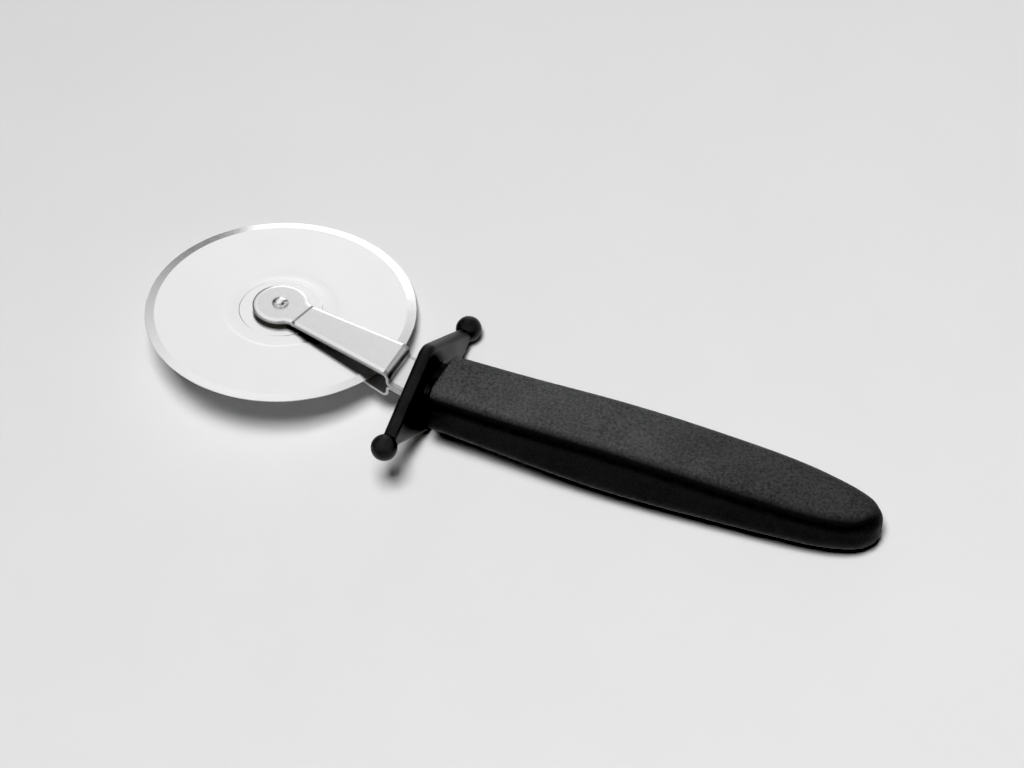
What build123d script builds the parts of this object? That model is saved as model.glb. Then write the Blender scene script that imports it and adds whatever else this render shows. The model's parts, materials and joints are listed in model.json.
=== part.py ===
from build123d import *
from math import atan2, cos, sin, tan
import os

# A pastry cutter wheel: a disc blade that turns on a rivet between two pressed arms, with a
# crossguard and a soft grip. Every piece is drawn in the tool's own frame, with the origin at the
# middle of the guard, X towards the butt and Z along the blade's axis. The finished pieces are
# then laid down together, so that the tool rests on the blade's rim, the guard and the butt.

# Driving dimensions, in millimetres and degrees
blade_radius = 42.5
blade_half_thickness = 0.5
blade_offset_x = -56.9          # from the guard's middle to the blade's middle
blade_offset_y = 12.5           # the neck leans sideways in the blade's plane
bevel_width = 2.9
edge_half_thickness = 0.1
hub_half_thickness = 0.62
hub_radius = 13.1
hub_slope_radius = 15.8

bush_bore_radius = 1.6
bush_radius = 3.0
running_clearance = 0.05        # radial and axial, between the blade and what it turns on
washer_radius = 6.5
pad_gap = 1.03                  # from the hub's face to the pad

sheet = 1.28                    # thickness of each arm
pad_radius = 8.8
crease_distance = 9.0           # from the blade's axis to the crease
crease_half_width = 5.35
neck_half_width = 7.3
arm_root_height = 4.85          # top of the arm above the blade's middle plane, at the drop
drop_radius = 2.6
drop_foot_x = -10.5
foot_radius = 0.4
tang_half_width = 5.5
tang_end_x = 92.0

rivet_radius = 1.55
rivet_head_radius = 2.65
rivet_head_height = 1.35
rivet_tail_height = 1.0

guard_half_thickness = 2.15
guard_apex = 16.97
guard_apex_radius = 5.0
guard_neck_y = 26.5
guard_neck_half_height = 2.3
guard_edge_radius = 1.8
ball_distance = 29.8
ball_radius = 4.06
collar_half_width = 7.9
collar_half_height = 5.9
collar_corner_radius = 2.6
collar_end_x = 4.45
slot_clearance = 0.04
back_mount_y = 16.0             # on the guard's back face, clear of the collar

core_half_width = 8.4
core_half_height = 5.1
core_corner_radius = 2.5
core_end_x = 126.0
pin_radius = 2.0
pin_positions = (28.0, 72.0)

butt_x = 146.2
butt_y = 1.9
grip_edge_radius = 5.2
grip_front_half_width = 11.6
grip_front_half_height = 8.1
grip_swell_x = 98.0             # where the palm swell is widest
grip_end_x = 126.0              # where the outlines turn into the butt
grip_waist_x = 50.0
grip_waist_far_y = 12.6
grip_waist_near_y = -12.4
grip_swell_far_y = 13.95
grip_swell_near_y = -10.95
grip_end_far_y = 12.6
grip_end_near_y = -9.2
grip_front_slope = 0.02         # how far the outlines open per millimetre behind the guard
grip_end_far_slope = -0.16
grip_end_near_slope = 0.1
grip_rise_x = 30.0
grip_rise_half_height = 8.75
grip_crest_x = 58.0
grip_crest_half_height = 9.9
grip_fall_x = 100.0
grip_fall_half_height = 8.8
grip_butt_half_height = 6.9
grip_butt_slope = -0.04

lying_roll = -19.05             # about X, brings the blade's far rim down to the table
lying_pitch = 2.44              # about Y, brings the butt down to the table

# Positions that follow from the driving dimensions
skew = atan2(blade_offset_y, -blade_offset_x)
pad_bottom = hub_half_thickness + pad_gap
pad_top = pad_bottom + sheet
blade_middle = Vector(blade_offset_x, blade_offset_y, 0)
along_arm = Vector(cos(skew), -sin(skew), 0)
blade_axis = Axis(blade_middle, (0, 0, 1))
blade_section = Plane(origin=blade_middle, x_dir=(1, 0, 0), z_dir=(0, -1, 0))
arm_plane = Plane(origin=blade_middle, x_dir=along_arm, z_dir=(0, 0, 1))
crease_plane = Plane(
    origin=blade_middle + along_arm * crease_distance, x_dir=(sin(skew), cos(skew), 0), z_dir=along_arm
)
drop_start_x = drop_foot_x - drop_radius
through_height = 4 * arm_root_height    # of a cutter that passes right through the arms and core
grip_blank = 2 * butt_y + 2 * grip_front_half_width     # of the grip's two crossed outlines
grip_blank_end_x = butt_x + grip_edge_radius            # the side outline runs past the butt


def neck_middle_y(x):
    """Y of the neck's middle line, which runs from the blade's axis to the guard's middle."""
    return -x * tan(skew)


def ring(inner, outer, low, high):
    """Sketch of a ring's section beside the blade's axis."""
    with BuildSketch(blade_section) as section:
        with Locations(((inner + outer) / 2, (low + high) / 2)):
            Rectangle(outer - inner, high - low)
    return section.sketch


# Blade: a ground disc, thicker at the hub, with a bevel round its rim
with BuildPart() as blade:
    with BuildSketch(blade_section):
        with BuildLine():
            upper_side = Polyline(
                (bush_radius + running_clearance, 0),
                (bush_radius + running_clearance, hub_half_thickness),
                (hub_radius, hub_half_thickness),
                (hub_slope_radius, blade_half_thickness),
                (blade_radius - bevel_width, blade_half_thickness),
                (blade_radius, edge_half_thickness),
                (blade_radius, 0),
            )
            mirror(upper_side, about=Plane.XZ)
        make_face()
    revolve(axis=blade_axis)

# Spacer bush: the sleeve that the blade turns on
with BuildPart() as spacer_bush:
    add(ring(bush_bore_radius, bush_radius, -pad_bottom, pad_bottom))
    revolve(axis=blade_axis)

# Thrust washers: one on each side of the hub, free between the hub and the pad
with BuildPart() as thrust_washer_upper:
    add(
        ring(
            bush_radius + running_clearance,
            washer_radius,
            hub_half_thickness + running_clearance,
            pad_bottom - running_clearance,
        )
    )
    revolve(axis=blade_axis)

with BuildPart() as thrust_washer_lower:
    mirror(thrust_washer_upper.part, about=Plane.XY)

# Rivet: domed head on the upper pad, a lower formed head under the other one
with BuildPart() as axle_rivet:
    with BuildSketch(blade_section):
        with BuildLine():
            head_top = (0, pad_top + rivet_head_height)
            head_edge = (rivet_head_radius, pad_top)
            tail_edge = (rivet_head_radius, -pad_top)
            tail_top = (0, -pad_top - rivet_tail_height)
            RadiusArc(
                head_edge,
                head_top,
                -(rivet_head_radius**2 + rivet_head_height**2) / (2 * rivet_head_height),
            )
            Polyline(
                head_edge,
                (rivet_radius, pad_top),
                (rivet_radius, -pad_top),
                tail_edge,
            )
            RadiusArc(
                tail_top,
                tail_edge,
                -(rivet_head_radius**2 + rivet_tail_height**2) / (2 * rivet_tail_height),
            )
            Line(tail_top, head_top)
        make_face()
    revolve(axis=blade_axis)

# Neck of the upper arm: the drop bend down to the middle plane, then the tang's upper half
with BuildPart() as neck:
    with BuildSketch(Plane.XZ):
        with BuildLine():
            bend_height = arm_root_height - drop_radius
            outer_foot = sheet + foot_radius
            inner_wall_x = drop_foot_x - sheet
            RadiusArc((drop_start_x, arm_root_height), (drop_foot_x, bend_height), drop_radius)
            Line((drop_foot_x, bend_height), (drop_foot_x, outer_foot))
            RadiusArc((drop_foot_x, outer_foot), (drop_foot_x + foot_radius, sheet), -foot_radius)
            Polyline(
                (drop_foot_x + foot_radius, sheet),
                (tang_end_x, sheet),
                (tang_end_x, 0),
                (drop_foot_x + foot_radius, 0),
            )
            RadiusArc((drop_foot_x + foot_radius, 0), (inner_wall_x, outer_foot), outer_foot)
            Line((inner_wall_x, outer_foot), (inner_wall_x, bend_height))
            RadiusArc(
                (inner_wall_x, bend_height),
                (drop_start_x, arm_root_height - sheet),
                sheet - drop_radius,
            )
            Line((drop_start_x, arm_root_height - sheet), (drop_start_x, arm_root_height))
        make_face()
    extrude(amount=2 * neck_half_width, both=True)
    with BuildSketch():
        with BuildLine():
            side_y = neck_half_width / cos(skew)
            Polyline(
                (drop_start_x, neck_middle_y(drop_start_x) + side_y),
                (-guard_half_thickness, neck_middle_y(-guard_half_thickness) + side_y),
                (-guard_half_thickness, tang_half_width),
                (tang_end_x, tang_half_width),
                (tang_end_x, -tang_half_width),
                (-guard_half_thickness, -tang_half_width),
                (-guard_half_thickness, neck_middle_y(-guard_half_thickness) - side_y),
                (drop_start_x, neck_middle_y(drop_start_x) - side_y),
                close=True,
            )
        make_face()
    extrude(amount=arm_root_height + sheet, mode=Mode.INTERSECT)

# Upper arm: round pad, crease, then the flat arm that widens and rises to the neck
with BuildPart() as fork_arm_upper:
    with BuildSketch(arm_plane.offset(pad_bottom)):
        Circle(pad_radius)
        with Locations((crease_distance / 2, 0)):
            Rectangle(crease_distance, 2 * crease_half_width)
    extrude(amount=sheet)
    with BuildSketch(crease_plane):
        with Locations((0, pad_bottom + sheet / 2)):
            Rectangle(2 * crease_half_width, sheet)
    with BuildSketch(Plane.YZ.offset(drop_start_x)):
        with Locations((neck_middle_y(drop_start_x), arm_root_height - sheet / 2)):
            Rectangle(2 * neck_half_width / cos(skew), sheet)
    loft(ruled=True)
    add(neck.part)
    with Locations(blade_middle):
        Cylinder(rivet_radius, through_height, mode=Mode.SUBTRACT)
    with Locations(*[(x, 0, 0) for x in pin_positions]):
        Cylinder(pin_radius, through_height, mode=Mode.SUBTRACT)

with BuildPart() as fork_arm_lower:
    mirror(fork_arm_upper.part, about=Plane.XY)

# Guard: a diamond plate with a ball at each tip, a collar behind it and a slot for the tang
with BuildPart() as guard:
    with BuildSketch(Plane.YZ.offset(-guard_half_thickness)):
        with BuildLine():
            Polyline(
                (0, guard_apex),
                (guard_neck_y, guard_neck_half_height),
                (ball_distance, guard_neck_half_height),
                (ball_distance, -guard_neck_half_height),
                (guard_neck_y, -guard_neck_half_height),
                (0, -guard_apex),
                (-guard_neck_y, -guard_neck_half_height),
                (-ball_distance, -guard_neck_half_height),
                (-ball_distance, guard_neck_half_height),
                (-guard_neck_y, guard_neck_half_height),
                close=True,
            )
        make_face()
        corners = vertices().sort_by(Axis.Y)
        fillet((corners[0], corners[-1]), guard_apex_radius)
    extrude(amount=2 * guard_half_thickness)
    plate_faces = faces().filter_by(Axis.X)
    fillet(plate_faces.edges(), guard_edge_radius)
    with Locations((0, ball_distance, 0), (0, -ball_distance, 0)):
        Sphere(ball_radius)
    with BuildSketch(Plane.YZ.offset(guard_half_thickness)):
        RectangleRounded(2 * collar_half_width, 2 * collar_half_height, collar_corner_radius)
    extrude(amount=collar_end_x - guard_half_thickness)
    with BuildSketch(Plane.YZ.offset(-guard_half_thickness)):
        Rectangle(2 * (tang_half_width + slot_clearance), 2 * (sheet + slot_clearance))
    extrude(amount=collar_end_x + guard_half_thickness, mode=Mode.SUBTRACT)

# Handle core: the hard bar round the tang
with BuildPart() as handle_core:
    with BuildSketch(Plane.YZ.offset(collar_end_x)):
        RectangleRounded(2 * core_half_width, 2 * core_half_height, core_corner_radius)
    extrude(amount=core_end_x - collar_end_x)
    with BuildSketch(Plane.YZ.offset(collar_end_x)):
        Rectangle(2 * (tang_half_width + slot_clearance), 2 * (sheet + slot_clearance))
    extrude(amount=tang_end_x + slot_clearance - collar_end_x, mode=Mode.SUBTRACT)
    with Locations(*[(x, 0, 0) for x in pin_positions]):
        Cylinder(pin_radius, through_height, mode=Mode.SUBTRACT)

# Tang pins: two plain pins through the core and both tang halves
with BuildPart() as tang_pins:
    with Locations(*[(x, 0, 0) for x in pin_positions]):
        Cylinder(pin_radius, 2 * core_half_height)

# Grip: plan outline and side outline crossed, then well rounded, with the core's cavity inside
with BuildPart() as handle_grip:
    with BuildSketch():
        with BuildLine():
            far_side = Spline(
                (collar_end_x, grip_front_half_width),
                (grip_waist_x, grip_waist_far_y),
                (grip_swell_x, grip_swell_far_y),
                (grip_end_x, grip_end_far_y),
                tangents=((1, grip_front_slope), (1, grip_end_far_slope)),
            )
            Spline(far_side @ 1, (butt_x, butt_y), tangents=((1, grip_end_far_slope), (0, -1)))
            near_side = Spline(
                (collar_end_x, -grip_front_half_width),
                (grip_waist_x, grip_waist_near_y),
                (grip_swell_x, grip_swell_near_y),
                (grip_end_x, grip_end_near_y),
                tangents=((1, -grip_front_slope), (1, grip_end_near_slope)),
            )
            Spline(near_side @ 1, (butt_x, butt_y), tangents=((1, grip_end_near_slope), (0, 1)))
            Line(far_side @ 0, near_side @ 0)
        make_face()
    extrude(amount=grip_blank / 2, both=True)
    with BuildSketch(Plane.XZ):
        with BuildLine():
            top_side = Spline(
                (collar_end_x, grip_front_half_height),
                (grip_rise_x, grip_rise_half_height),
                (grip_crest_x, grip_crest_half_height),
                (grip_fall_x, grip_fall_half_height),
                (grip_blank_end_x, grip_butt_half_height),
                tangents=((1, grip_front_slope), (1, grip_butt_slope)),
            )
            bottom_side = mirror(top_side, about=Plane.XZ)
            Line(top_side @ 0, bottom_side @ 0)
            Line(top_side @ 1, bottom_side @ 1)
        make_face()
    extrude(amount=grip_blank, both=True, mode=Mode.INTERSECT)
    outline_edges = edges().filter_by(
        lambda edge: abs(edge.center().Z) > core_half_height and edge.center().X > grip_edge_radius
    )
    fillet(outline_edges, grip_edge_radius)
    with BuildSketch(Plane.YZ.offset(collar_end_x)):
        RectangleRounded(2 * core_half_width, 2 * core_half_height, core_corner_radius)
    extrude(amount=core_end_x - collar_end_x, mode=Mode.SUBTRACT)

pieces = {
    "blade": blade,
    "spacer_bush": spacer_bush,
    "thrust_washer_upper": thrust_washer_upper,
    "thrust_washer_lower": thrust_washer_lower,
    "axle_rivet": axle_rivet,
    "fork_arm_upper": fork_arm_upper,
    "fork_arm_lower": fork_arm_lower,
    "guard": guard,
    "handle_core": handle_core,
    "tang_pins": tang_pins,
    "handle_grip": handle_grip,
}


def turn_down(shape):
    """Turn a shape from the tool's own frame to the way the tool lies on the table."""
    return shape.rotate(Axis.X, lying_roll).rotate(Axis.Y, lying_pitch)


# Lay the tool down, with the table at Z = 0 and the origin under the middle of its bounding box
turned = {name: turn_down(piece.part) for name, piece in pieces.items()}
box = Compound(children=list(turned.values())).bounding_box()
to_table = -Vector(box.center().X, box.center().Y, box.min.Z)

os.makedirs("parts", exist_ok=True)
for name, shape in turned.items():
    laid = Part(shape.translate(to_table).wrapped)
    laid.label = name
    export_step(laid, f"parts/{name}.step")

hub = turn_down(Vertex(blade_middle)).translate(to_table)
spin = turn_down(Vertex(blade_middle + Vector(0, 0, 1))).translate(to_table)
print("blade spin point, mm:", [round(v, 4) for v in hub.center()])
print("blade spin axis:", [round(v, 6) for v in spin.center() - hub.center()])
back_point = turn_down(Vertex(guard_half_thickness, back_mount_y, 0)).translate(to_table)
print("guard's back face point, mm:", [round(v, 4) for v in back_point.center()])
print("box, mm:", box.size)
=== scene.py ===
import json
import math

import bmesh
import bpy
import numpy as np
from mathutils import Matrix, Vector


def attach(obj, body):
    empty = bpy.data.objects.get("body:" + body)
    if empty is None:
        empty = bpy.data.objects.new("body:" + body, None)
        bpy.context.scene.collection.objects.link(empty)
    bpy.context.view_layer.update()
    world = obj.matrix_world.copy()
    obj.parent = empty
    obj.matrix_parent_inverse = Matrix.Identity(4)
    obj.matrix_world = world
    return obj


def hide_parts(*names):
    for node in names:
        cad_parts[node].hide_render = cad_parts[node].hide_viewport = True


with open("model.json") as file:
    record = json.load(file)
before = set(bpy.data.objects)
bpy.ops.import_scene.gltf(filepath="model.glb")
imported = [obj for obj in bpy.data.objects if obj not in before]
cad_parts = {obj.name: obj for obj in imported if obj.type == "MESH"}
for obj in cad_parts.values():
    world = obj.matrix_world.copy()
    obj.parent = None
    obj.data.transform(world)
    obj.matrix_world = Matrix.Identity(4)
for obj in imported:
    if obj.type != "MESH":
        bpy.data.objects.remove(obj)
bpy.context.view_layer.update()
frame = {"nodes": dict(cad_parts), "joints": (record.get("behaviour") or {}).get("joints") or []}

# Looks of a pastry cutter wheel: a ground disc blade on a rivet between two pressed arms, a black
# ball-tipped guard and a soft tapered grip. Each piece is drawn in the tool's own frame, in
# millimetres, with the origin at the middle of the guard, X towards the butt and Z along the blade's
# axis. Its mesh is then laid down where the CAD frame says.

MM = 0.001

# ---- sizes, in millimetres of the tool's own frame, as in the CAD source ----
BLADE_X, BLADE_Y = -56.9, 12.5
BLADE_RADIUS = 42.5
BLADE_HALF = 0.5
BLADE_BORE = 3.05
BORE_CHAMFER = 0.12
BEVEL_WIDTH = 2.9
CUTTING_EDGE = ((0.08, 0.11), (0.02, 0.06), (0.0, 0.0))     # distance from the rim, half-thickness
HUB_HALF = 0.62
HUB_LAND = 8.6                  # flat middle of the hub, under the pads
HUB_RADIUS, HUB_EDGE_HALF = 12.9, 0.575
STEP_START, STEP_END, STEP_HALF = 12.92, 13.15, 0.505     # small step round the hub
MOAT_START, MOAT_INNER, MOAT_OUTER, FACE_START = 13.2, 16.2, 16.8, 18.6
MOAT_HALF = 0.43                # half-thickness at the bottom of the shallow hollow round the hub

SHEET = 1.28
PAD_BOTTOM = 1.65
PAD_TOP = PAD_BOTTOM + SHEET
PAD_RADIUS = 8.8
PAD_BLEND_ANGLE = 136           # round the pad from its tip, to where it blends into the strip
PAD_BLEND_GAP = 0.55            # between the blend's end and the crease
CREASE_DISTANCE = 9.0           # from the blade's axis
CREASE_HALF_WIDTH = 5.35
CREASE_FLARE = 0.1              # the strip is this much wider just past the crease
CREASE_DIPS = ((-0.4, 0.0), (-0.2, 0.12), (0.0, 0.24), (0.15, 0.16))    # place along the strip, depth
NECK_HALF_WIDTH = 7.3
ARM_ROOT_HEIGHT = 4.85
DROP_RADIUS = 2.6
DROP_FOOT_X = -10.5
FOOT_RADIUS = 0.4
FOOT_END_X = -6.0
TANG_HALF_WIDTH = 5.5
TANG_END_X = 92.0
ROLL_MARGIN = 1.15              # width of the gentle fall beside a sheared sheet's upper edge
ROLL_TILT = 13                  # its tilt where it meets the edge's rounding, in degrees
ROLL_OVER = 0.38                # rounding of the upper edge
BURR_ROUND = 0.15               # rounding of the lower edge
ACROSS_STEPS = 8                # faces across the sheet
MARGIN_POINTS, ROLL_POINTS, BURR_POINTS = 5, 11, 3      # round each of its edges

RIVET_RADIUS = 1.55
RIVET_HEAD_RADIUS = 2.65
RIVET_HEAD_HEIGHT = 1.35
RIVET_HEAD_LAND = 0.12          # upright rim under the domed head
RIVET_TAIL_HEIGHT = 1.0
RIVET_TAIL_FLAT = 1.3           # radius of the hammered end's flat
RIVET_DIMPLE = ((0.6, 0.0), (0.45, 0.1), (0.001, 0.16))     # radius, depth

GUARD_HALF = 2.15
NECK_END_X, TANG_START_X = -GUARD_HALF - 0.2, -GUARD_HALF + 0.6     # the arm narrows inside the guard
GUARD_APEX = 16.96
GUARD_APEX_RADIUS = 5.0
GUARD_NECK_Y = 26.5
GUARD_NECK_HALF = 2.3
NECK_BLEND_START, NECK_BLEND_END = GUARD_NECK_Y - 0.5, GUARD_NECK_Y + 0.35
GUARD_ROUND = 1.8
GUARD_ARC_STEPS, GUARD_SIDE_STEPS = 8, 10
BALL_DISTANCE = 29.8
BALL_RADIUS = 4.06
COLLAR_HALF_WIDTH, COLLAR_HALF_HEIGHT = 7.9, 5.9
COLLAR_CORNER = 2.6
COLLAR_END_X = 4.45
COLLAR_ROUND, COLLAR_FLARE = 0.55, 0.35
COLLAR_SINK = 0.8               # how far the collar starts inside the guard

# plan outlines (x, y) of the grip's sides and its upper middle line (x, z), as points to pass through
GRIP_FAR_SIDE = ((COLLAR_END_X, 11.6), (50, 12.6), (98, 13.95), (126, 12.6))
GRIP_NEAR_SIDE = ((COLLAR_END_X, -11.6), (50, -12.4), (98, -10.95), (126, -9.2))
GRIP_TOP = ((COLLAR_END_X, 8.1), (30, 8.75), (58, 9.9), (100, 8.8), (147.2, 6.9))
GRIP_CROWN = 0.22               # fall of the broad faces from their middle line to their edges
GRIP_CROWN_HEIGHT = 7           # below this half-height, near the butt, the crown gets lower
GRIP_ROUND = 5.2
GRIP_LIP = 1.4
GRIP_ARC_STEPS, GRIP_SIDE_STEPS = 14, 10
BUTT_X, BUTT_Y = 146.2, 1.9
BUTT_RUN = 14                   # last stretch of the grip, with its sections closer together
BUTT_GAP = 0.004                # from the last section to the butt's tip
CORE_HALF_WIDTH, CORE_HALF_HEIGHT = 8.4, 5.1
CORE_CORNER = 2.5
CORE_END_X = 126.0
CAVITY_LEAD = 0.4               # widening of the grip's cavity towards its mouth
CAVITY_CHAMFER = 0.25

SKEW = math.atan2(BLADE_Y, -BLADE_X)
WELD_DISTANCE = 0.002
SHORTEST_EDGE = 0.001


# ---- the tool's frame, from the joint that the blade turns on ----
def tool_matrix():
    """Matrix from the tool's own frame, in metres, to the row frame."""
    joint = frame["joints"][0]
    up = Vector(joint["axis"]).normalized()
    ahead = Vector((0, 1, 0)).cross(up).normalized()
    turn = Matrix((ahead, up.cross(ahead), up)).transposed()
    guard_middle = Vector(joint["pos_m"]) - turn @ (Vector((BLADE_X, BLADE_Y, 0)) * MM)
    return Matrix.Translation(guard_middle) @ turn.to_4x4()


TOOL = tool_matrix()
HUB = TOOL @ Matrix.Translation(Vector((BLADE_X, BLADE_Y, 0)) * MM)


# ---- mesh building ----
def new_piece(name, points, faces, matrix, sharp_degrees=40, extra=()):
    """Object from points in millimetres, with smooth shading broken at sharp edges.

    The faces whose numbers are in one of the sets of extra take its second, third... material."""
    mesh = bpy.data.meshes.new(name)
    mesh.from_pydata([tuple(c * MM for c in p) for p in points], [], faces)
    for index, numbers in enumerate(extra):
        for number in numbers:
            mesh.polygons[number].material_index = index + 1
    clean = bmesh.new()
    clean.from_mesh(mesh)
    bmesh.ops.remove_doubles(clean, verts=clean.verts, dist=WELD_DISTANCE * MM)
    bmesh.ops.dissolve_degenerate(clean, edges=clean.edges, dist=SHORTEST_EDGE * MM)
    bmesh.ops.recalc_face_normals(clean, faces=clean.faces)
    clean.to_mesh(mesh)
    clean.free()
    mesh.transform(matrix)
    mesh.shade_smooth()
    mesh.set_sharp_from_angle(angle=math.radians(sharp_degrees))
    piece = bpy.data.objects.new(name, mesh)
    bpy.context.scene.collection.objects.link(piece)
    flatten = piece.modifiers.new("flat faces shade flat", "WEIGHTED_NORMAL")
    flatten.keep_sharp = True
    return piece


def skin(rings, cap_start=True, cap_end=True):
    """Points and faces of a tube through rings that have the same number of points."""
    count = len(rings[0])
    points = [tuple(p) for ring in rings for p in ring]
    faces = []
    for row in range(len(rings) - 1):
        for i in range(count):
            j = (i + 1) % count
            low, high = row * count, (row + 1) * count
            faces.append((low + i, low + j, high + j, high + i))
    if cap_start:
        faces.append(tuple(reversed(range(count))))
    if cap_end:
        last = (len(rings) - 1) * count
        faces.append(tuple(range(last, last + count)))
    return points, faces


def revolved(name, profile, matrix, steps=256, closed=False, sharp_degrees=40):
    """Piece from a profile of (radius, height) turned about Z."""
    angles = [2 * math.pi * i / steps for i in range(steps)]
    rings = [
        [(radius * math.cos(a), radius * math.sin(a), height) for a in angles] for radius, height in profile
    ]
    if closed:
        rings.append(rings[0])
    points, faces = skin(rings, cap_start=not closed, cap_end=not closed)
    return new_piece(name, points, faces, matrix, sharp_degrees)


def arc(centre, radius, start, end, steps):
    """Points (x, y) on an arc from one angle to another, in degrees."""
    return [
        (centre[0] + radius * math.cos(math.radians(a)), centre[1] + radius * math.sin(math.radians(a)))
        for a in np.linspace(start, end, steps + 1)
    ]


def rounded_rectangle(half_width, half_height, corner, arc_steps=8, side_steps=6):
    """Closed ring of (x, y), anticlockwise from the lower end of the right side's upper corner."""
    corner = min(corner, half_width, half_height)
    w, h = half_width - corner, half_height - corner
    corners = (((w, h), 0), ((-w, h), 90), ((-w, -h), 180), ((w, -h), 270))
    turns = [arc(centre, corner, start, start + 90, arc_steps) for centre, start in corners]
    ring = []
    for turn, following in zip(turns, turns[1:] + turns[:1]):
        ring += turn
        for step in range(1, side_steps):
            share = step / side_steps
            ring.append(tuple(a + (b - a) * share for a, b in zip(turn[-1], following[0])))
    return ring


def ease(t):
    """Smooth step from 0 to 1."""
    t = min(max(t, 0.0), 1.0)
    return t * t * (3 - 2 * t)


def hermite(t, start, leave, end, land):
    """Point at t from 0 to 1 on the curve that leaves start and lands on end along two vectors."""
    return (
        (2 * t**3 - 3 * t**2 + 1) * start
        + (t**3 - 2 * t**2 + t) * leave
        + (3 * t**2 - 2 * t**3) * end
        + (t**3 - t**2) * land
    )


def cubic_through(points, first_slope, last_slope):
    """Smooth curve y(x) through the points, with given slopes at its ends."""
    x, y = np.array(points, float).T
    gap = np.diff(x)
    count = len(x)
    matrix, right = np.zeros((count, count)), np.zeros(count)
    matrix[0, 0] = matrix[-1, -1] = 1
    right[0], right[-1] = first_slope, last_slope
    for i in range(1, count - 1):
        matrix[i, i - 1] = gap[i]
        matrix[i, i] = 2 * (gap[i - 1] + gap[i])
        matrix[i, i + 1] = gap[i - 1]
        rise_before, rise_after = (y[i] - y[i - 1]) / gap[i - 1], (y[i + 1] - y[i]) / gap[i]
        right[i] = 3 * (gap[i] * rise_before + gap[i - 1] * rise_after)
    slope = np.linalg.solve(matrix, right)

    def curve(at):
        i = int(np.clip(np.searchsorted(x, at) - 1, 0, count - 2))
        t = (at - x[i]) / gap[i]
        return hermite(t, y[i], gap[i] * slope[i], y[i + 1], gap[i] * slope[i + 1])

    return curve


# ---- shader nodes ----
class Shader:
    """A material being built: a Principled shader and the nodes that feed it."""

    def __init__(self, name, own_frame=None):
        """The patterns follow own_frame, the matrix from a piece's own frame to the row frame."""
        self.material = bpy.data.materials.new(name)
        self.material.use_nodes = True
        self.nodes = self.material.node_tree.nodes
        self.links = self.material.node_tree.links
        self.surface = self.nodes["Principled BSDF"]
        self.place = self.nodes.new("ShaderNodeTexCoord").outputs["Object"]
        if own_frame is not None:
            back = own_frame.inverted()
            node = self.nodes.new("ShaderNodeMapping")
            node.inputs["Location"].default_value = back.to_translation()
            node.inputs["Rotation"].default_value = back.to_euler()
            self.links.new(self.place, node.inputs["Vector"])
            self.place = node.outputs["Vector"]

    def set(self, **values):
        for socket, value in values.items():
            self.surface.inputs[socket.replace("_", " ")].default_value = value

    def feed(self, socket, output):
        self.links.new(output, self.surface.inputs[socket])

    def mapped(self, scale=(1, 1, 1), turn=(0, 0, 0)):
        node = self.nodes.new("ShaderNodeMapping")
        node.inputs["Scale"].default_value = scale
        node.inputs["Rotation"].default_value = turn
        self.links.new(self.place, node.inputs["Vector"])
        return node.outputs["Vector"]

    def noise(self, per_mm, detail=4, roughness=0.55, vector=None):
        node = self.nodes.new("ShaderNodeTexNoise")
        node.inputs["Scale"].default_value = per_mm / MM
        node.inputs["Detail"].default_value = detail
        node.inputs["Roughness"].default_value = roughness
        self.links.new(vector or self.place, node.inputs["Vector"])
        return node.outputs["Fac"]

    def pits(self, per_mm):
        node = self.nodes.new("ShaderNodeTexVoronoi")
        node.inputs["Scale"].default_value = per_mm / MM
        self.links.new(self.place, node.inputs["Vector"])
        return node.outputs["Distance"]

    def spread(self, output, low, high, from_low=0.3, from_high=0.7):
        """The value between from_low and from_high, stretched to low and high."""
        node = self.nodes.new("ShaderNodeMapRange")
        node.inputs["From Min"].default_value = from_low
        node.inputs["From Max"].default_value = from_high
        node.inputs["To Min"].default_value = low
        node.inputs["To Max"].default_value = high
        self.links.new(output, node.inputs["Value"])
        return node.outputs["Result"]

    def maths(self, operation, first, second=None):
        node = self.nodes.new("ShaderNodeMath")
        node.operation = operation
        for socket, value in zip(node.inputs, (first, second)):
            if value is None:
                continue
            if isinstance(value, (int, float)):
                socket.default_value = value
            else:
                self.links.new(value, socket)
        return node.outputs[0]

    def shades(self, output, dark, pale, from_low=0.3, from_high=0.7):
        """Colours from dark to pale as the value goes from from_low to from_high."""
        node = self.nodes.new("ShaderNodeValToRGB")
        stops = zip(node.color_ramp.elements, (from_low, from_high), (dark, pale))
        for element, position, colour in stops:
            element.position = position
            element.color = (*colour, 1)
        self.links.new(output, node.inputs["Fac"])
        return node.outputs["Color"]

    def bump(self, height, micrometres, strength=1.0, under=None):
        node = self.nodes.new("ShaderNodeBump")
        node.inputs["Distance"].default_value = micrometres * MM / 1000
        node.inputs["Strength"].default_value = strength
        self.links.new(height, node.inputs["Height"])
        if under is not None:
            self.links.new(under, node.inputs["Normal"])
        return node.outputs["Normal"]

    def facing(self, direction):
        """How far the surface turns to a direction or its opposite, from 0 to 1."""
        dot = self.nodes.new("ShaderNodeVectorMath")
        dot.operation = "DOT_PRODUCT"
        dot.inputs[1].default_value = direction
        self.links.new(self.nodes.new("ShaderNodeTexCoord").outputs["Normal"], dot.inputs[0])
        return self.maths("ABSOLUTE", dot.outputs["Value"])

    def part(self, index):
        """The place's X, Y or Z, in metres."""
        apart = self.nodes.new("ShaderNodeSeparateXYZ")
        self.links.new(self.place, apart.inputs[0])
        return apart.outputs[index]

    def radius(self):
        """Distance from the own frame's Z axis."""
        squares = [self.maths("MULTIPLY", self.part(i), self.part(i)) for i in (0, 1)]
        return self.maths("SQRT", self.maths("ADD", *squares))

    def rings(self, per_mm):
        """Noise that varies with the radius and hardly round it, as turning marks do."""
        joined = self.nodes.new("ShaderNodeCombineXYZ")
        self.links.new(self.radius(), joined.inputs[0])
        return self.noise(per_mm, detail=3, vector=joined.outputs[0])


def grey(value):
    return (value, value, value)


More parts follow.
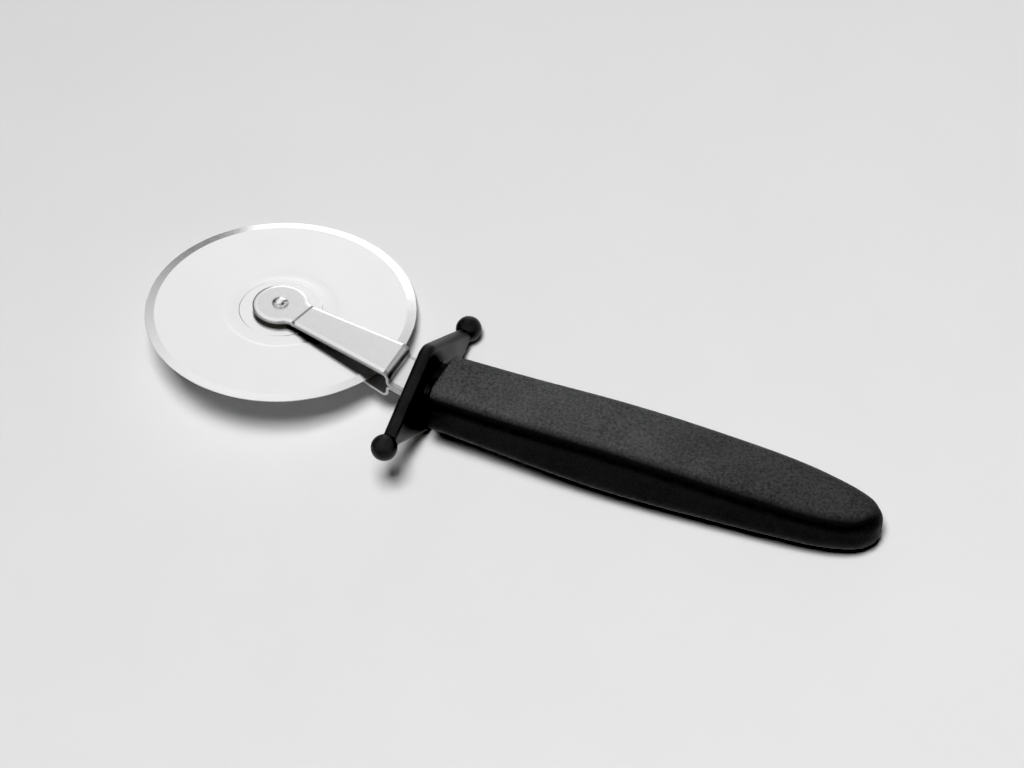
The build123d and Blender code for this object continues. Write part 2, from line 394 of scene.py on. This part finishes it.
def ground_steel(name, colour, roughness, mark_depth, clouding):
    """Disc faces: fine turning marks, faint clouding and a few wiped scratches."""
    s = Shader(name, HUB)
    s.set(Metallic=1.0)
    cloud = s.noise(per_mm=0.055, detail=5)
    s.feed("Base Color", s.shades(cloud, grey(colour * 0.975), grey(colour)))
    marks = s.rings(per_mm=9.0)
    scratch = s.noise(per_mm=1.4, detail=2, vector=s.mapped(scale=(1, 0.02, 1), turn=(0, 0, 0.7)))
    mixed = s.maths("ADD", s.spread(cloud, 0, clouding), s.spread(marks, 0, 0.05))
    mixed = s.maths("ADD", mixed, s.spread(scratch, 0, 0.03, from_low=0.55))
    s.feed("Roughness", s.maths("ADD", mixed, roughness))
    s.feed("Normal", s.bump(marks, micrometres=mark_depth))
    return s.material


def brushed_steel(name, colour, roughness):
    """Pressed arms: satin brushed along the strip."""
    s = Shader(name, TOOL)
    s.set(Metallic=1.0)
    cloud = s.noise(per_mm=0.12)
    s.feed("Base Color", s.shades(cloud, grey(colour * 0.95), grey(colour)))
    grain = s.noise(per_mm=6.0, detail=3, vector=s.mapped(scale=(0.03, 1, 1), turn=(0, 0, -SKEW)))
    rough = s.maths("ADD", s.spread(cloud, 0, 0.06), s.spread(grain, roughness, roughness + 0.1))
    s.feed("Roughness", rough)
    s.feed("Normal", s.bump(grain, micrometres=1.2))
    return s.material


def polished_steel(name, colour, roughness):
    """Rivet and ground bevel: bright, with faint rings and dulled spots."""
    s = Shader(name, HUB)
    s.set(Metallic=1.0)
    spots = s.noise(per_mm=0.8, detail=3)
    s.feed("Base Color", s.shades(spots, grey(colour * 0.95), grey(colour)))
    marks = s.rings(per_mm=14.0)
    rough = s.maths("ADD", s.spread(spots, 0, 0.05), s.spread(marks, roughness, roughness + 0.04))
    s.feed("Roughness", rough)
    s.feed("Normal", s.bump(marks, micrometres=0.15))
    return s.material


def sheared_and_shaded_steel(name, colour):
    """Sheared edges, inner side of the sheet and the drop's rounded edges: dull, darker, with short upright
    drag marks. The darker colour is partly the edges' own and partly painted shade, where the arms face
    each other, on their walls and round the drop.
    """
    s = Shader(name, TOOL)
    s.set(Metallic=1.0)
    drag = s.noise(per_mm=4.0, detail=3, vector=s.mapped(scale=(1, 1, 0.15)))
    s.feed("Base Color", s.shades(drag, grey(colour * 0.7), grey(colour)))
    s.feed("Roughness", s.spread(drag, 0.35, 0.5))
    s.feed("Normal", s.bump(drag, micrometres=4))
    return s.material


def turned_steel(name, colour):
    """Bush and pins: plain turned bar."""
    s = Shader(name)
    s.set(Metallic=1.0)
    grain = s.noise(per_mm=5.0, detail=3)
    s.feed("Base Color", s.shades(grain, grey(colour * 0.9), grey(colour)))
    s.feed("Roughness", s.spread(grain, 0.25, 0.4))
    s.feed("Normal", s.bump(grain, micrometres=1.5))
    return s.material


def nylon(name):
    """Thrust washers: natural nylon, slightly waxy, with graphite rubbed in."""
    s = Shader(name)
    wear = s.noise(per_mm=0.9)
    s.feed("Base Color", s.shades(wear, (0.62, 0.6, 0.55), (0.78, 0.77, 0.72), from_high=0.65))
    s.feed("Roughness", s.spread(wear, 0.4, 0.55))
    s.feed("Normal", s.bump(s.noise(per_mm=6.0), micrometres=3))
    return s.material


def moulded_black(name, colour, roughness, grain_depth):
    """Smooth moulded plastic with orange peel and handling marks."""
    s = Shader(name, TOOL)
    s.set(Specular_IOR_Level=0.25)
    handling = s.noise(per_mm=0.11, detail=5)
    peel = s.noise(per_mm=2.2, detail=2)
    s.feed("Base Color", s.shades(handling, grey(colour), grey(colour * 1.6), from_high=0.75))
    rough = s.maths("ADD", s.spread(handling, roughness, roughness + 0.1), s.spread(peel, 0, 0.04))
    s.feed("Roughness", rough)
    s.feed("Normal", s.bump(peel, micrometres=grain_depth))
    return s.material


def grip_rubber(name):
    """Black rubber with fine grain, slow changes of tone and fine pits; grain and tone are painted pale
    only on the faces turned to the tool's Z, as painted light, and the sides stay near black, as painted
    shade.
    """
    s = Shader(name, TOOL)
    s.set(Specular_IOR_Level=0.2)
    grain = s.noise(per_mm=1.15, roughness=0.65)
    pits = s.pits(per_mm=1.3)
    wear = s.noise(per_mm=0.045)
    # painted light: the lit upper face and the lower face get the pale grain and tone, the sides keep the
    # near-black base as painted shade
    broad_side = TOOL.to_3x3() @ Vector((0, 0, 1))
    painted_light_mask = s.spread(s.facing(broad_side), 0.0, 1.0, from_low=0.66, from_high=0.94)
    # the tone gets darker towards the butt
    darker_to_butt = s.spread(s.part(0), 1.0, 0.6, from_low=50 * MM, from_high=140 * MM)
    grainy = s.spread(grain, 0.05, 0.62, from_low=0.33, from_high=0.67)
    tone = s.maths("ADD", grainy, s.spread(wear, 0.05, 0.3))
    tone = s.maths("MULTIPLY", tone, darker_to_butt)
    tone = s.maths("MULTIPLY", tone, painted_light_mask)
    s.feed("Base Color", s.shades(tone, grey(0.016), (0.11, 0.111, 0.113), from_low=0.0, from_high=1.0))
    s.feed("Roughness", s.maths("ADD", s.spread(grain, 0.62, 0.46), s.spread(wear, 0.04, 0.0)))
    deep = s.bump(s.spread(pits, 0, 1, from_low=0.0, from_high=0.45), micrometres=20, strength=0.5)
    s.feed("Normal", s.bump(grain, micrometres=60, strength=0.8, under=deep))
    return s.material


def pale_floor(name):
    """Floor: plain and pale, with a very slight mottle and a soft sheen."""
    s = Shader(name)
    s.set(Specular_IOR_Level=0.25)
    mottle = s.noise(per_mm=0.02)
    s.feed("Base Color", s.shades(mottle, grey(0.785), grey(0.8)))
    s.feed("Roughness", s.spread(mottle, 0.48, 0.5))
    return s.material


BLADE_STEEL = ground_steel("blade_steel", colour=0.9, roughness=0.13, mark_depth=0.3, clouding=0.03)
BEVEL_STEEL = polished_steel("bevel_steel", colour=0.93, roughness=0.12)
ARM_STEEL = brushed_steel("arm_steel", colour=0.78, roughness=0.24)
# darker steel: partly the cut edges' own colour, partly painted shade on the arms' inner sides, walls and
# drop
SHEARED_AND_SHADED_STEEL = sheared_and_shaded_steel("sheared_and_shaded_steel", colour=0.62)
ROLLED_STEEL = brushed_steel("rolled_steel", colour=0.88, roughness=0.1)
RIVET_STEEL = polished_steel("rivet_steel", colour=0.9, roughness=0.14)
BUSH_STEEL = turned_steel("bush_steel", colour=0.62)
WASHER_NYLON = nylon("washer_nylon")
GUARD_PLASTIC = moulded_black("guard_plastic", colour=0.017, roughness=0.3, grain_depth=2)
CORE_PLASTIC = moulded_black("core_plastic", colour=0.02, roughness=0.45, grain_depth=10)
GRIP_RUBBER = grip_rubber("grip_rubber")
FLOOR_PALE = pale_floor("floor_pale")


def dress(piece, materials, node, body):
    """Finish a piece: its materials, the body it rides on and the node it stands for."""
    for material in materials:
        piece.data.materials.append(material)
    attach(piece, body)
    if node is not None:
        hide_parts(node)


# ---- blade ----
def slope(start, end, steps=16):
    """Smooth step from one (radius, height) to another."""
    return [
        (start[0] + (end[0] - start[0]) * i / steps, start[1] + (end[1] - start[1]) * ease(i / steps))
        for i in range(steps + 1)
    ]


def make_blade():
    bevel_start = BLADE_RADIUS - BEVEL_WIDTH
    upper = [(BLADE_BORE, HUB_HALF - BORE_CHAMFER), (BLADE_BORE + BORE_CHAMFER, HUB_HALF)]
    upper += slope((HUB_LAND, HUB_HALF), (HUB_RADIUS, HUB_EDGE_HALF))
    upper += slope((STEP_START, HUB_EDGE_HALF), (STEP_END, STEP_HALF), steps=6)
    upper += slope((MOAT_START, STEP_HALF), (MOAT_INNER, MOAT_HALF))
    upper += slope((MOAT_OUTER, MOAT_HALF), (FACE_START, BLADE_HALF))
    upper += [(radius, BLADE_HALF) for radius in (24, 32, bevel_start)]
    upper += [(BLADE_RADIUS - inset, half) for inset, half in CUTTING_EDGE]
    lower = [(radius, -height) for radius, height in reversed(upper[:-1])]
    blade = revolved("blade_disc", upper + lower, HUB, steps=360, closed=True, sharp_degrees=6)
    dress(blade, (BLADE_STEEL, BEVEL_STEEL), "blade", "wheel")
    to_hub = HUB.inverted()
    for face in blade.data.polygons:
        middle = to_hub @ face.center
        face.material_index = int(math.hypot(middle.x, middle.y) > bevel_start * MM)


# ---- arms ----
def arm_stations():
    """Cross-sections of the upper arm from the pad's tip to the tang's end, and the drop's first row.

    Each is (middle of the lower surface, half-width vector to the +Y side, thickness direction)."""
    along = Vector((math.cos(SKEW), -math.sin(SKEW), 0))
    across = Vector((math.sin(SKEW), math.cos(SKEW), 0))
    hub = Vector((BLADE_X, BLADE_Y, 0))
    up = Vector((0, 0, 1))
    stations = []

    def on_pad(distance, half_width, dip=0.0):
        middle = hub + along * distance + up * (PAD_BOTTOM - dip)
        stations.append((middle, across * half_width, up))

    # round pad, then a small concave blend into the crease's width
    for degrees in np.linspace(0, PAD_BLEND_ANGLE, 48):
        a = math.radians(degrees)
        on_pad(-PAD_RADIUS * math.cos(a), PAD_RADIUS * math.sin(a))
    blend_angle = math.radians(PAD_BLEND_ANGLE)
    blend_start, blend_width = -PAD_RADIUS * math.cos(blend_angle), PAD_RADIUS * math.sin(blend_angle)
    reach = CREASE_DISTANCE - PAD_BLEND_GAP - blend_start
    narrowing = CREASE_HALF_WIDTH - blend_width
    for t in np.linspace(0.15, 1, 8):
        lead = reach / math.tan(blend_angle) * t * (1 - t) ** 2
        on_pad(blend_start + reach * t, blend_width + lead + narrowing * ease(t))
    for offset, dip in CREASE_DIPS:
        on_pad(CREASE_DISTANCE + offset, CREASE_HALF_WIDTH + CREASE_FLARE * (offset > 0), dip)
    # rising arm, ruled from the crease to the line where the drop starts, closely beside the crease
    drop_start_x = DROP_FOOT_X - DROP_RADIUS
    neck_half = NECK_HALF_WIDTH / math.cos(SKEW)
    start = hub + along * CREASE_DISTANCE + up * PAD_BOTTOM
    end = Vector((drop_start_x, -drop_start_x * math.tan(SKEW), ARM_ROOT_HEIGHT - SHEET))
    for t in [0.012, 0.03, *np.linspace(0.08, 1, 20)]:
        half = (across * CREASE_HALF_WIDTH).lerp(Vector((0, neck_half, 0)), t)
        stations.append((start.lerp(end, t), half, up))
    drop_row = len(stations)

    def on_neck(x, z, tilt):
        """Lower surface at (x, z), with the thickness direction turned from up towards +X."""
        middle = Vector((x, -x * math.tan(SKEW), z))
        stations.append((middle, Vector((0, neck_half, 0)), Vector((math.sin(tilt), 0, math.cos(tilt)))))

    inner = DROP_RADIUS - SHEET
    centre_z = ARM_ROOT_HEIGHT - DROP_RADIUS
    for degrees in np.linspace(0, 90, 15)[1:]:
        a = math.radians(degrees)
        on_neck(drop_start_x + inner * math.sin(a), centre_z + inner * math.cos(a), a)
    foot = FOOT_RADIUS + SHEET
    foot_x = DROP_FOOT_X + FOOT_RADIUS
    for degrees in np.linspace(90, 0, 12):
        a = math.radians(degrees)
        on_neck(foot_x - foot * math.sin(a), foot - foot * math.cos(a), a)
    on_neck(FOOT_END_X, 0, 0)
    on_neck(NECK_END_X, 0, 0)
    for x in (TANG_START_X, 20, 50, TANG_END_X):
        stations.append((Vector((x, 0, 0)), Vector((0, TANG_HALF_WIDTH, 0)), up))
    return stations, drop_row


def edge_profile():
    """The sheet's edge from its upper to its lower surface, as (distance from the outline, height)."""
    tilt = math.radians(ROLL_TILT)
    margin_radius = ROLL_MARGIN / math.sin(tilt)
    margin_fall = margin_radius * (1 - math.cos(tilt))
    edge = []
    for a in np.linspace(0, tilt, MARGIN_POINTS + 1)[:-1]:
        inset = ROLL_OVER * (1 - math.sin(tilt)) + ROLL_MARGIN - margin_radius * math.sin(a)
        edge.append((inset, SHEET - margin_radius * (1 - math.cos(a))))
    for a in np.linspace(tilt, math.pi / 2, ROLL_POINTS - MARGIN_POINTS):
        drop = ROLL_OVER * (math.cos(tilt) - math.cos(a))
        edge.append((ROLL_OVER * (1 - math.sin(a)), SHEET - margin_fall - drop))
    for a in np.linspace(0, math.pi / 2, BURR_POINTS):
        edge.append((BURR_ROUND * (1 - math.cos(a)), BURR_ROUND * (1 - math.sin(a))))
    return edge


def arm_ring(middle, half, normal, left_out, right_out):
    """Closed section: upper surface, right edge, lower surface, left edge."""
    left, right = middle + half, middle - half
    profile = edge_profile()
    right_edge = [right - right_out * inset + normal * height for inset, height in profile]
    left_edge = [left - left_out * inset + normal * height for inset, height in reversed(profile)]
    ring = []
    for surface_start, edge in ((left_edge[-1], right_edge), (right_edge[-1], left_edge)):
        ring += [surface_start.lerp(edge[0], i / ACROSS_STEPS) for i in range(1, ACROSS_STEPS)]
        ring += edge
    return ring


def make_arm(name, node, mirrored):
    stations, drop_row = arm_stations()
    lefts = [middle + half for middle, half, _ in stations]
    rights = [middle - half for middle, half, _ in stations]
    rings = []
    for i, (middle, half, normal) in enumerate(stations):
        before, after = max(i - 1, 0), min(i + 1, len(stations) - 1)
        left_out = normal.cross(lefts[after] - lefts[before]).normalized()
        right_out = (rights[after] - rights[before]).cross(normal).normalized()
        if i == 0:
            left_out = right_out = Vector((-math.cos(SKEW), math.sin(SKEW), 0))
        rings.append(arm_ring(middle, half, normal, left_out, right_out))
    points, faces = skin(rings)
    if mirrored:
        points = [(x, y, -z) for x, y, z in points]
    # round a section lie the upper surface, right roll-over, right wall, lower surface, left wall and left
    # roll-over; the walls, the lower surface and the drop's roll-overs take the darker steel, painted shade
    # where the arms face each other and round the drop, and partly the walls' own dull colour
    count, last_row = len(rings[0]), len(rings) - 1
    right_wall = ACROSS_STEPS - 1 + ROLL_POINTS - 1
    left_roll = count - ROLL_POINTS
    rolls = [*range(ACROSS_STEPS - 1, right_wall), *range(left_roll, count - 1)]
    sheared_and_shaded_faces = [row * count + i for row in range(last_row) for i in range(right_wall, left_roll)]
    sheared_and_shaded_faces += [row * count + i for row in range(drop_row, last_row) for i in rolls]
    rolled = [row * count + i for row in range(drop_row) for i in rolls]
    arm = new_piece(name, points, faces, TOOL, sharp_degrees=35, extra=(sheared_and_shaded_faces, rolled))
    dress(arm, (ARM_STEEL, SHEARED_AND_SHADED_STEEL, ROLLED_STEEL), node, "frame")


# ---- rivet ----
def make_rivet():
    """Domed head, shank, and a hammered tail with a centre dimple."""
    profile = []
    for a in np.linspace(0.001, math.pi / 2, 24):
        rise = RIVET_HEAD_LAND + (RIVET_HEAD_HEIGHT - RIVET_HEAD_LAND) * math.cos(a)
        profile.append((RIVET_HEAD_RADIUS * math.sin(a), PAD_TOP + rise))
    profile += [(RIVET_HEAD_RADIUS, PAD_TOP), (RIVET_RADIUS, PAD_TOP)]
    profile += [(RIVET_RADIUS, -PAD_TOP), (RIVET_HEAD_RADIUS, -PAD_TOP)]
    for degrees in np.linspace(0, 90, 8):
        a = math.radians(degrees)
        radius = RIVET_TAIL_FLAT + (RIVET_HEAD_RADIUS - RIVET_TAIL_FLAT) * math.cos(a)
        profile.append((radius, -PAD_TOP - RIVET_TAIL_HEIGHT * math.sin(a)))
    profile += [(radius, depth - PAD_TOP - RIVET_TAIL_HEIGHT) for radius, depth in RIVET_DIMPLE]
    rivet = revolved("axle_rivet_turned", profile, HUB, steps=96)
    dress(rivet, (RIVET_STEEL,), "axle_rivet", "frame")


# ---- guard ----
def diamond_half_height(y):
    """Half-height of the diamond plate at a distance from its middle, with a rounded apex."""
    y = abs(y)
    rake = math.atan2(GUARD_APEX - GUARD_NECK_HALF, GUARD_NECK_Y)
    if y < GUARD_APEX_RADIUS * math.sin(rake):
        crown = GUARD_APEX - GUARD_APEX_RADIUS / math.cos(rake)
        return crown + math.sqrt(GUARD_APEX_RADIUS**2 - y * y)
    return max(GUARD_APEX - y * math.tan(rake), GUARD_NECK_HALF)


def guard_ring(y):
    """Section of the guard across Y: rounded plate, then round ball, eased where they meet."""
    plate = rounded_rectangle(
        GUARD_HALF, diamond_half_height(y), GUARD_ROUND, GUARD_ARC_STEPS, GUARD_SIDE_STEPS
    )
    reach = abs(y) - BALL_DISTANCE
    ball = GUARD_NECK_HALF
    if abs(reach) < BALL_RADIUS:
        ball = math.sqrt(max(BALL_RADIUS**2 - reach**2, 1e-6))
    share = ease((abs(y) - NECK_BLEND_START) / (NECK_BLEND_END - NECK_BLEND_START))
    # the plate's ring starts half a side past the middle of its +X side, and so does the ball's
    lead = GUARD_SIDE_STEPS // 2
    ring = []
    for i, (x, z) in enumerate(plate):
        a = 2 * math.pi * (i + lead) / len(plate)
        ring.append((x + (ball * math.cos(a) - x) * share, y, z + (ball * math.sin(a) - z) * share))
    return ring


def make_guard():
    """Plate and balls in one skin: close levels round the apex, the necks and the balls."""
    apex_end = GUARD_APEX_RADIUS / 2
    half = [*np.linspace(0, apex_end, 7), *np.linspace(apex_end + 1.2, NECK_BLEND_START - 0.4, 16)]
    half += list(np.linspace(NECK_BLEND_START, NECK_BLEND_END, 7))
    ball_start = math.acos((NECK_BLEND_END - BALL_DISTANCE) / BALL_RADIUS)
    half += [BALL_DISTANCE + BALL_RADIUS * math.cos(a) for a in np.linspace(ball_start, 0, 26)[1:]]
    levels = [-y for y in reversed(half[1:])] + half
    points, faces = skin([guard_ring(y) for y in levels])
    guard = new_piece("guard_body", points, faces, TOOL, sharp_degrees=50)
    dress(guard, (GUARD_PLASTIC,), "guard", "frame")


def make_collar():
    """Collar behind the guard: flared where it meets the plate, rounded at its end."""
    rings = []

    def collar_ring(x, grow):
        half_width, half_height = COLLAR_HALF_WIDTH + grow, COLLAR_HALF_HEIGHT + grow
        ring = rounded_rectangle(half_width, half_height, COLLAR_CORNER + grow)
        rings.append([(x, y, z) for y, z in ring])

    collar_ring(GUARD_HALF - COLLAR_SINK, COLLAR_FLARE)
    for degrees in np.linspace(0, 90, 5):
        a = math.radians(degrees)
        collar_ring(GUARD_HALF + COLLAR_FLARE * (1 - math.cos(a)), COLLAR_FLARE * (1 - math.sin(a)))
    for degrees in np.linspace(0, 90, 6):
        a = math.radians(degrees)
        collar_ring(COLLAR_END_X - COLLAR_ROUND * (1 - math.sin(a)), -COLLAR_ROUND * (1 - math.cos(a)))
    points, faces = skin(rings)
    collar = new_piece("guard_collar", points, faces, TOOL, sharp_degrees=50)
    dress(collar, (GUARD_PLASTIC,), None, "frame")


# ---- grip ----
def side_outline(points, first_slope, last_slope, body_steps=120, butt_steps=60):
    """Plan outline, as arrays of x and y: along one side, then round to the middle of the butt."""
    side = cubic_through(points, first_slope, last_slope)
    body = [(x, side(x)) for x in np.linspace(points[0][0], points[-1][0], body_steps)]
    start, end = np.array(points[-1], float), np.array((BUTT_X, BUTT_Y))
    reach = np.linalg.norm(end - start)
    leave = np.array((1.0, last_slope)) * reach / math.hypot(1, last_slope)
    land = np.array((0.0, -math.copysign(reach, start[1])))
    butt = [tuple(hermite(t, start, leave, end, land)) for t in np.linspace(0, 1, butt_steps)]
    return np.array(body[:-1] + butt).T


def make_grip():
    far_side = side_outline(GRIP_FAR_SIDE, first_slope=0.02, last_slope=-0.16)
    near_side = side_outline(GRIP_NEAR_SIDE, first_slope=-0.02, last_slope=0.1)
    top = cubic_through(GRIP_TOP, first_slope=0.02, last_slope=-0.04)

    def section(x, inset=0.0):
        """Crowned section of the grip at x, drawn in by inset all round."""
        high, low = float(np.interp(x, *far_side)), float(np.interp(x, *near_side))
        width, height = (high - low) / 2 - inset, top(x) - inset
        past = x - (BUTT_X - GRIP_ROUND)
        if past > 0:
            height -= GRIP_ROUND - math.sqrt(max(GRIP_ROUND**2 - past**2, 0.0))
        crown = GRIP_CROWN * min(1.0, height / GRIP_CROWN_HEIGHT)
        ring = []
        for y, z in rounded_rectangle(width, height, GRIP_ROUND, GRIP_ARC_STEPS, GRIP_SIDE_STEPS):
            # the crown fades out down the sides
            fall = crown * (y / width) ** 2 * ease(abs(z) / height * 1.6 - 0.6)
            ring.append((x, (high + low) / 2 + y, z - math.copysign(fall, z)))
        return ring

    def cavity(x, grow=0.0):
        half_width, half_height = CORE_HALF_WIDTH + grow, CORE_HALF_HEIGHT + grow
        ring = rounded_rectangle(half_width, half_height, CORE_CORNER, GRIP_ARC_STEPS, GRIP_SIDE_STEPS)
        return [(x, y, z) for y, z in ring]

    rings = [cavity(CORE_END_X), cavity(COLLAR_END_X + CAVITY_LEAD), cavity(COLLAR_END_X, CAVITY_CHAMFER)]
    for degrees in np.linspace(0, 90, 7):
        a = math.radians(degrees)
        rings.append(section(COLLAR_END_X + GRIP_LIP * (1 - math.cos(a)), GRIP_LIP * (1 - math.sin(a))))
    rings += [section(x) for x in np.linspace(COLLAR_END_X + GRIP_LIP + 1, BUTT_X - BUTT_RUN, 90)]
    for a in np.linspace(0, math.pi / 2, 34)[1:]:
        rings.append(section(BUTT_X - BUTT_GAP - (BUTT_RUN - BUTT_GAP) * (1 - math.sin(a))))
    points, faces = skin(rings)
    grip = new_piece("grip_skin", points, faces, TOOL, sharp_degrees=60)
    dress(grip, (GRIP_RUBBER,), "handle_grip", "frame")


make_blade()
make_arm("arm_upper", "fork_arm_upper", mirrored=False)
make_arm("arm_lower", "fork_arm_lower", mirrored=True)
make_rivet()
make_guard()
make_collar()
make_grip()

# ---- CAD nodes that keep their shape ----
CARRIED = {
    "spacer_bush": BUSH_STEEL,
    "tang_pins": BUSH_STEEL,
    "thrust_washer_upper": WASHER_NYLON,
    "thrust_washer_lower": WASHER_NYLON,
    "handle_core": CORE_PLASTIC,
}
for node_name, carried_material in CARRIED.items():
    slots = frame["nodes"][node_name].data.materials
    slots.clear()
    slots.append(carried_material)


# ---- floor ----
def make_floor():
    half = 3.0
    mesh = bpy.data.meshes.new("floor")
    corners = [(-half, -half, 0), (half, -half, 0), (half, half, 0), (-half, half, 0)]
    mesh.from_pydata(corners, [], [(0, 1, 2, 3)])
    mesh.materials.append(FLOOR_PALE)
    floor = bpy.data.objects.new("floor", mesh)
    bpy.context.scene.collection.objects.link(floor)


# ---- camera and light: places and sizes in metres, lens and sensor in millimetres ----
CAMERA_PLACE = (0.324586, -0.40903, 0.837465)
CAMERA_BACK = Vector((0.332366, -0.41976, 0.844591))
CAMERA_ROLL = math.radians(17.108)
LENS = 112.5
SENSOR_WIDTH = 36
BLACK_POINT = 0.022             # light level that shows as black

FAR = Vector((-CAMERA_BACK.x, -CAMERA_BACK.y, 0)).normalized()
RIGHT = FAR.cross(Vector((0, 0, 1)))

# panels seen only in the steel and the plastic, so that every side has something to mirror:
# name, azimuth and elevation in degrees, width and height in metres, watts
PANEL_DISTANCE = 2.3
MIRRORED_PANELS = (
    ("back", 195, 52, 4.2, 1.8, 11),
    ("left", 285, 38, 2.8, 1.7, 6.5),
    ("right", 125, 40, 2.4, 1.7, 6.5),
    ("far_right", 71, 27, 1.9, 1.7, 5.2),
    ("overhead", 200, 86, 1.7, 1.7, 3.5),
)


def make_camera():
    data = bpy.data.cameras.new("camera")
    data.lens = LENS
    data.sensor_width = SENSOR_WIDTH
    data.clip_start, data.clip_end = 0.05, 20
    camera = bpy.data.objects.new("camera", data)
    level_right = Vector((0, 0, 1)).cross(CAMERA_BACK).normalized()
    level_up = CAMERA_BACK.cross(level_right)
    up = level_up * math.cos(CAMERA_ROLL) + level_right * math.sin(CAMERA_ROLL)
    turn = Matrix((up.cross(CAMERA_BACK), up, CAMERA_BACK)).transposed()
    camera.matrix_world = Matrix.Translation(CAMERA_PLACE) @ turn.to_4x4()
    bpy.context.scene.collection.objects.link(camera)
    bpy.context.scene.camera = camera


def towards(azimuth, elevation):
    """Direction at an angle to the right of straight away from the camera, above the horizon."""
    a, e = math.radians(azimuth), math.radians(elevation)
    return (FAR * math.cos(a) + RIGHT * math.sin(a)) * math.cos(e) + Vector((0, 0, math.sin(e)))


def softbox(name, azimuth, elevation, distance, width, height, watts, mirrored=True, lights=True):
    """Area lamp that faces the tool; it can be left out of reflections, or be seen only in them."""
    data = bpy.data.lights.new(name, "AREA")
    data.shape = "RECTANGLE"
    data.size, data.size_y = width, height
    data.energy = watts
    lamp = bpy.data.objects.new(name, data)
    direction = towards(azimuth, elevation)
    lamp.location = direction * distance
    lamp.rotation_mode = "QUATERNION"
    lamp.rotation_quaternion = direction.to_track_quat("Z", "Y")
    lamp.visible_camera = False
    lamp.visible_glossy = mirrored
    lamp.visible_diffuse = lights
    bpy.context.scene.collection.objects.link(lamp)


def make_world():
    """Room that is mirrored but lights no matt surface: bright on the far side, dim near the horizon."""
    world = bpy.data.worlds.new("studio")
    bpy.context.scene.world = world
    world.use_nodes = True
    world.cycles_visibility.diffuse = False
    nodes, links = world.node_tree.nodes, world.node_tree.links
    direction = nodes.new("ShaderNodeTexCoord").outputs["Generated"]

    def along(vector, low, high):
        """Smooth 0 to 1 as the direction's part along a vector goes from low to high."""
        dot = nodes.new("ShaderNodeVectorMath")
        dot.operation = "DOT_PRODUCT"
        dot.inputs[1].default_value = vector
        links.new(direction, dot.inputs[0])
        span = nodes.new("ShaderNodeMapRange")
        span.interpolation_type = "SMOOTHSTEP"
        span.inputs["From Min"].default_value = low
        span.inputs["From Max"].default_value = high
        links.new(dot.outputs["Value"], span.inputs["Value"])
        return span.outputs["Result"]

    def above(low, high):
        """Smooth 0 to 1 as the elevation goes from low to high, in degrees."""
        return along((0, 0, 1), math.sin(math.radians(low)), math.sin(math.radians(high)))

    def maths(operation, first, second):
        node = nodes.new("ShaderNodeMath")
        node.operation = operation
        for socket, value in zip(node.inputs, (first, second)):
            if isinstance(value, float):
                socket.default_value = value
            else:
                links.new(value, socket)
        return node.outputs[0]

    def scaled(output, low, high):
        """0 to 1 stretched to low and high."""
        return maths("ADD", maths("MULTIPLY", output, high - low), low)

    below_zenith = maths("SUBTRACT", 1.0, above(62, 84))
    band = maths("MULTIPLY", scaled(above(9, 21), 0.24, 1.0), below_zenith)
    left_edge = along(towards(96, 30), -0.15, 0.33)
    right_edge = along(towards(-60, 0), -0.19, 0.08)
    side = maths("MULTIPLY", left_edge, right_edge)
    glow = maths("MULTIPLY", maths("MULTIPLY", band, side), scaled(above(35, 62), 0.89, 0.97))
    near_horizon = maths("SUBTRACT", 1.0, above(28, 48))
    behind = along(towards(180, 0), -0.45, 0.15)
    walls = maths("MULTIPLY", maths("MULTIPLY", behind, near_horizon), 0.12)
    strength = maths("ADD", maths("ADD", glow, walls), 0.035)
    nodes["Background"].inputs["Color"].default_value = (1, 1, 1, 1)
    links.new(strength, nodes["Background"].inputs["Strength"])


def make_light():
    softbox("key", 180, 76.5, distance=1.6, width=0.42, height=0.42, watts=25.5, mirrored=False)
    for name, azimuth, elevation, width, height, watts in MIRRORED_PANELS:
        softbox(name, azimuth, elevation, PANEL_DISTANCE, width, height, watts, lights=False)
    softbox("window", 22.4, 10, distance=2.0, width=1.06, height=0.52, watts=2.4)
    make_world()
    view = bpy.context.scene.view_settings
    view.view_transform = "Standard"
    view.use_curve_mapping = True
    view.curve_mapping.black_level = grey(BLACK_POINT)


make_floor()
make_camera()
make_light()
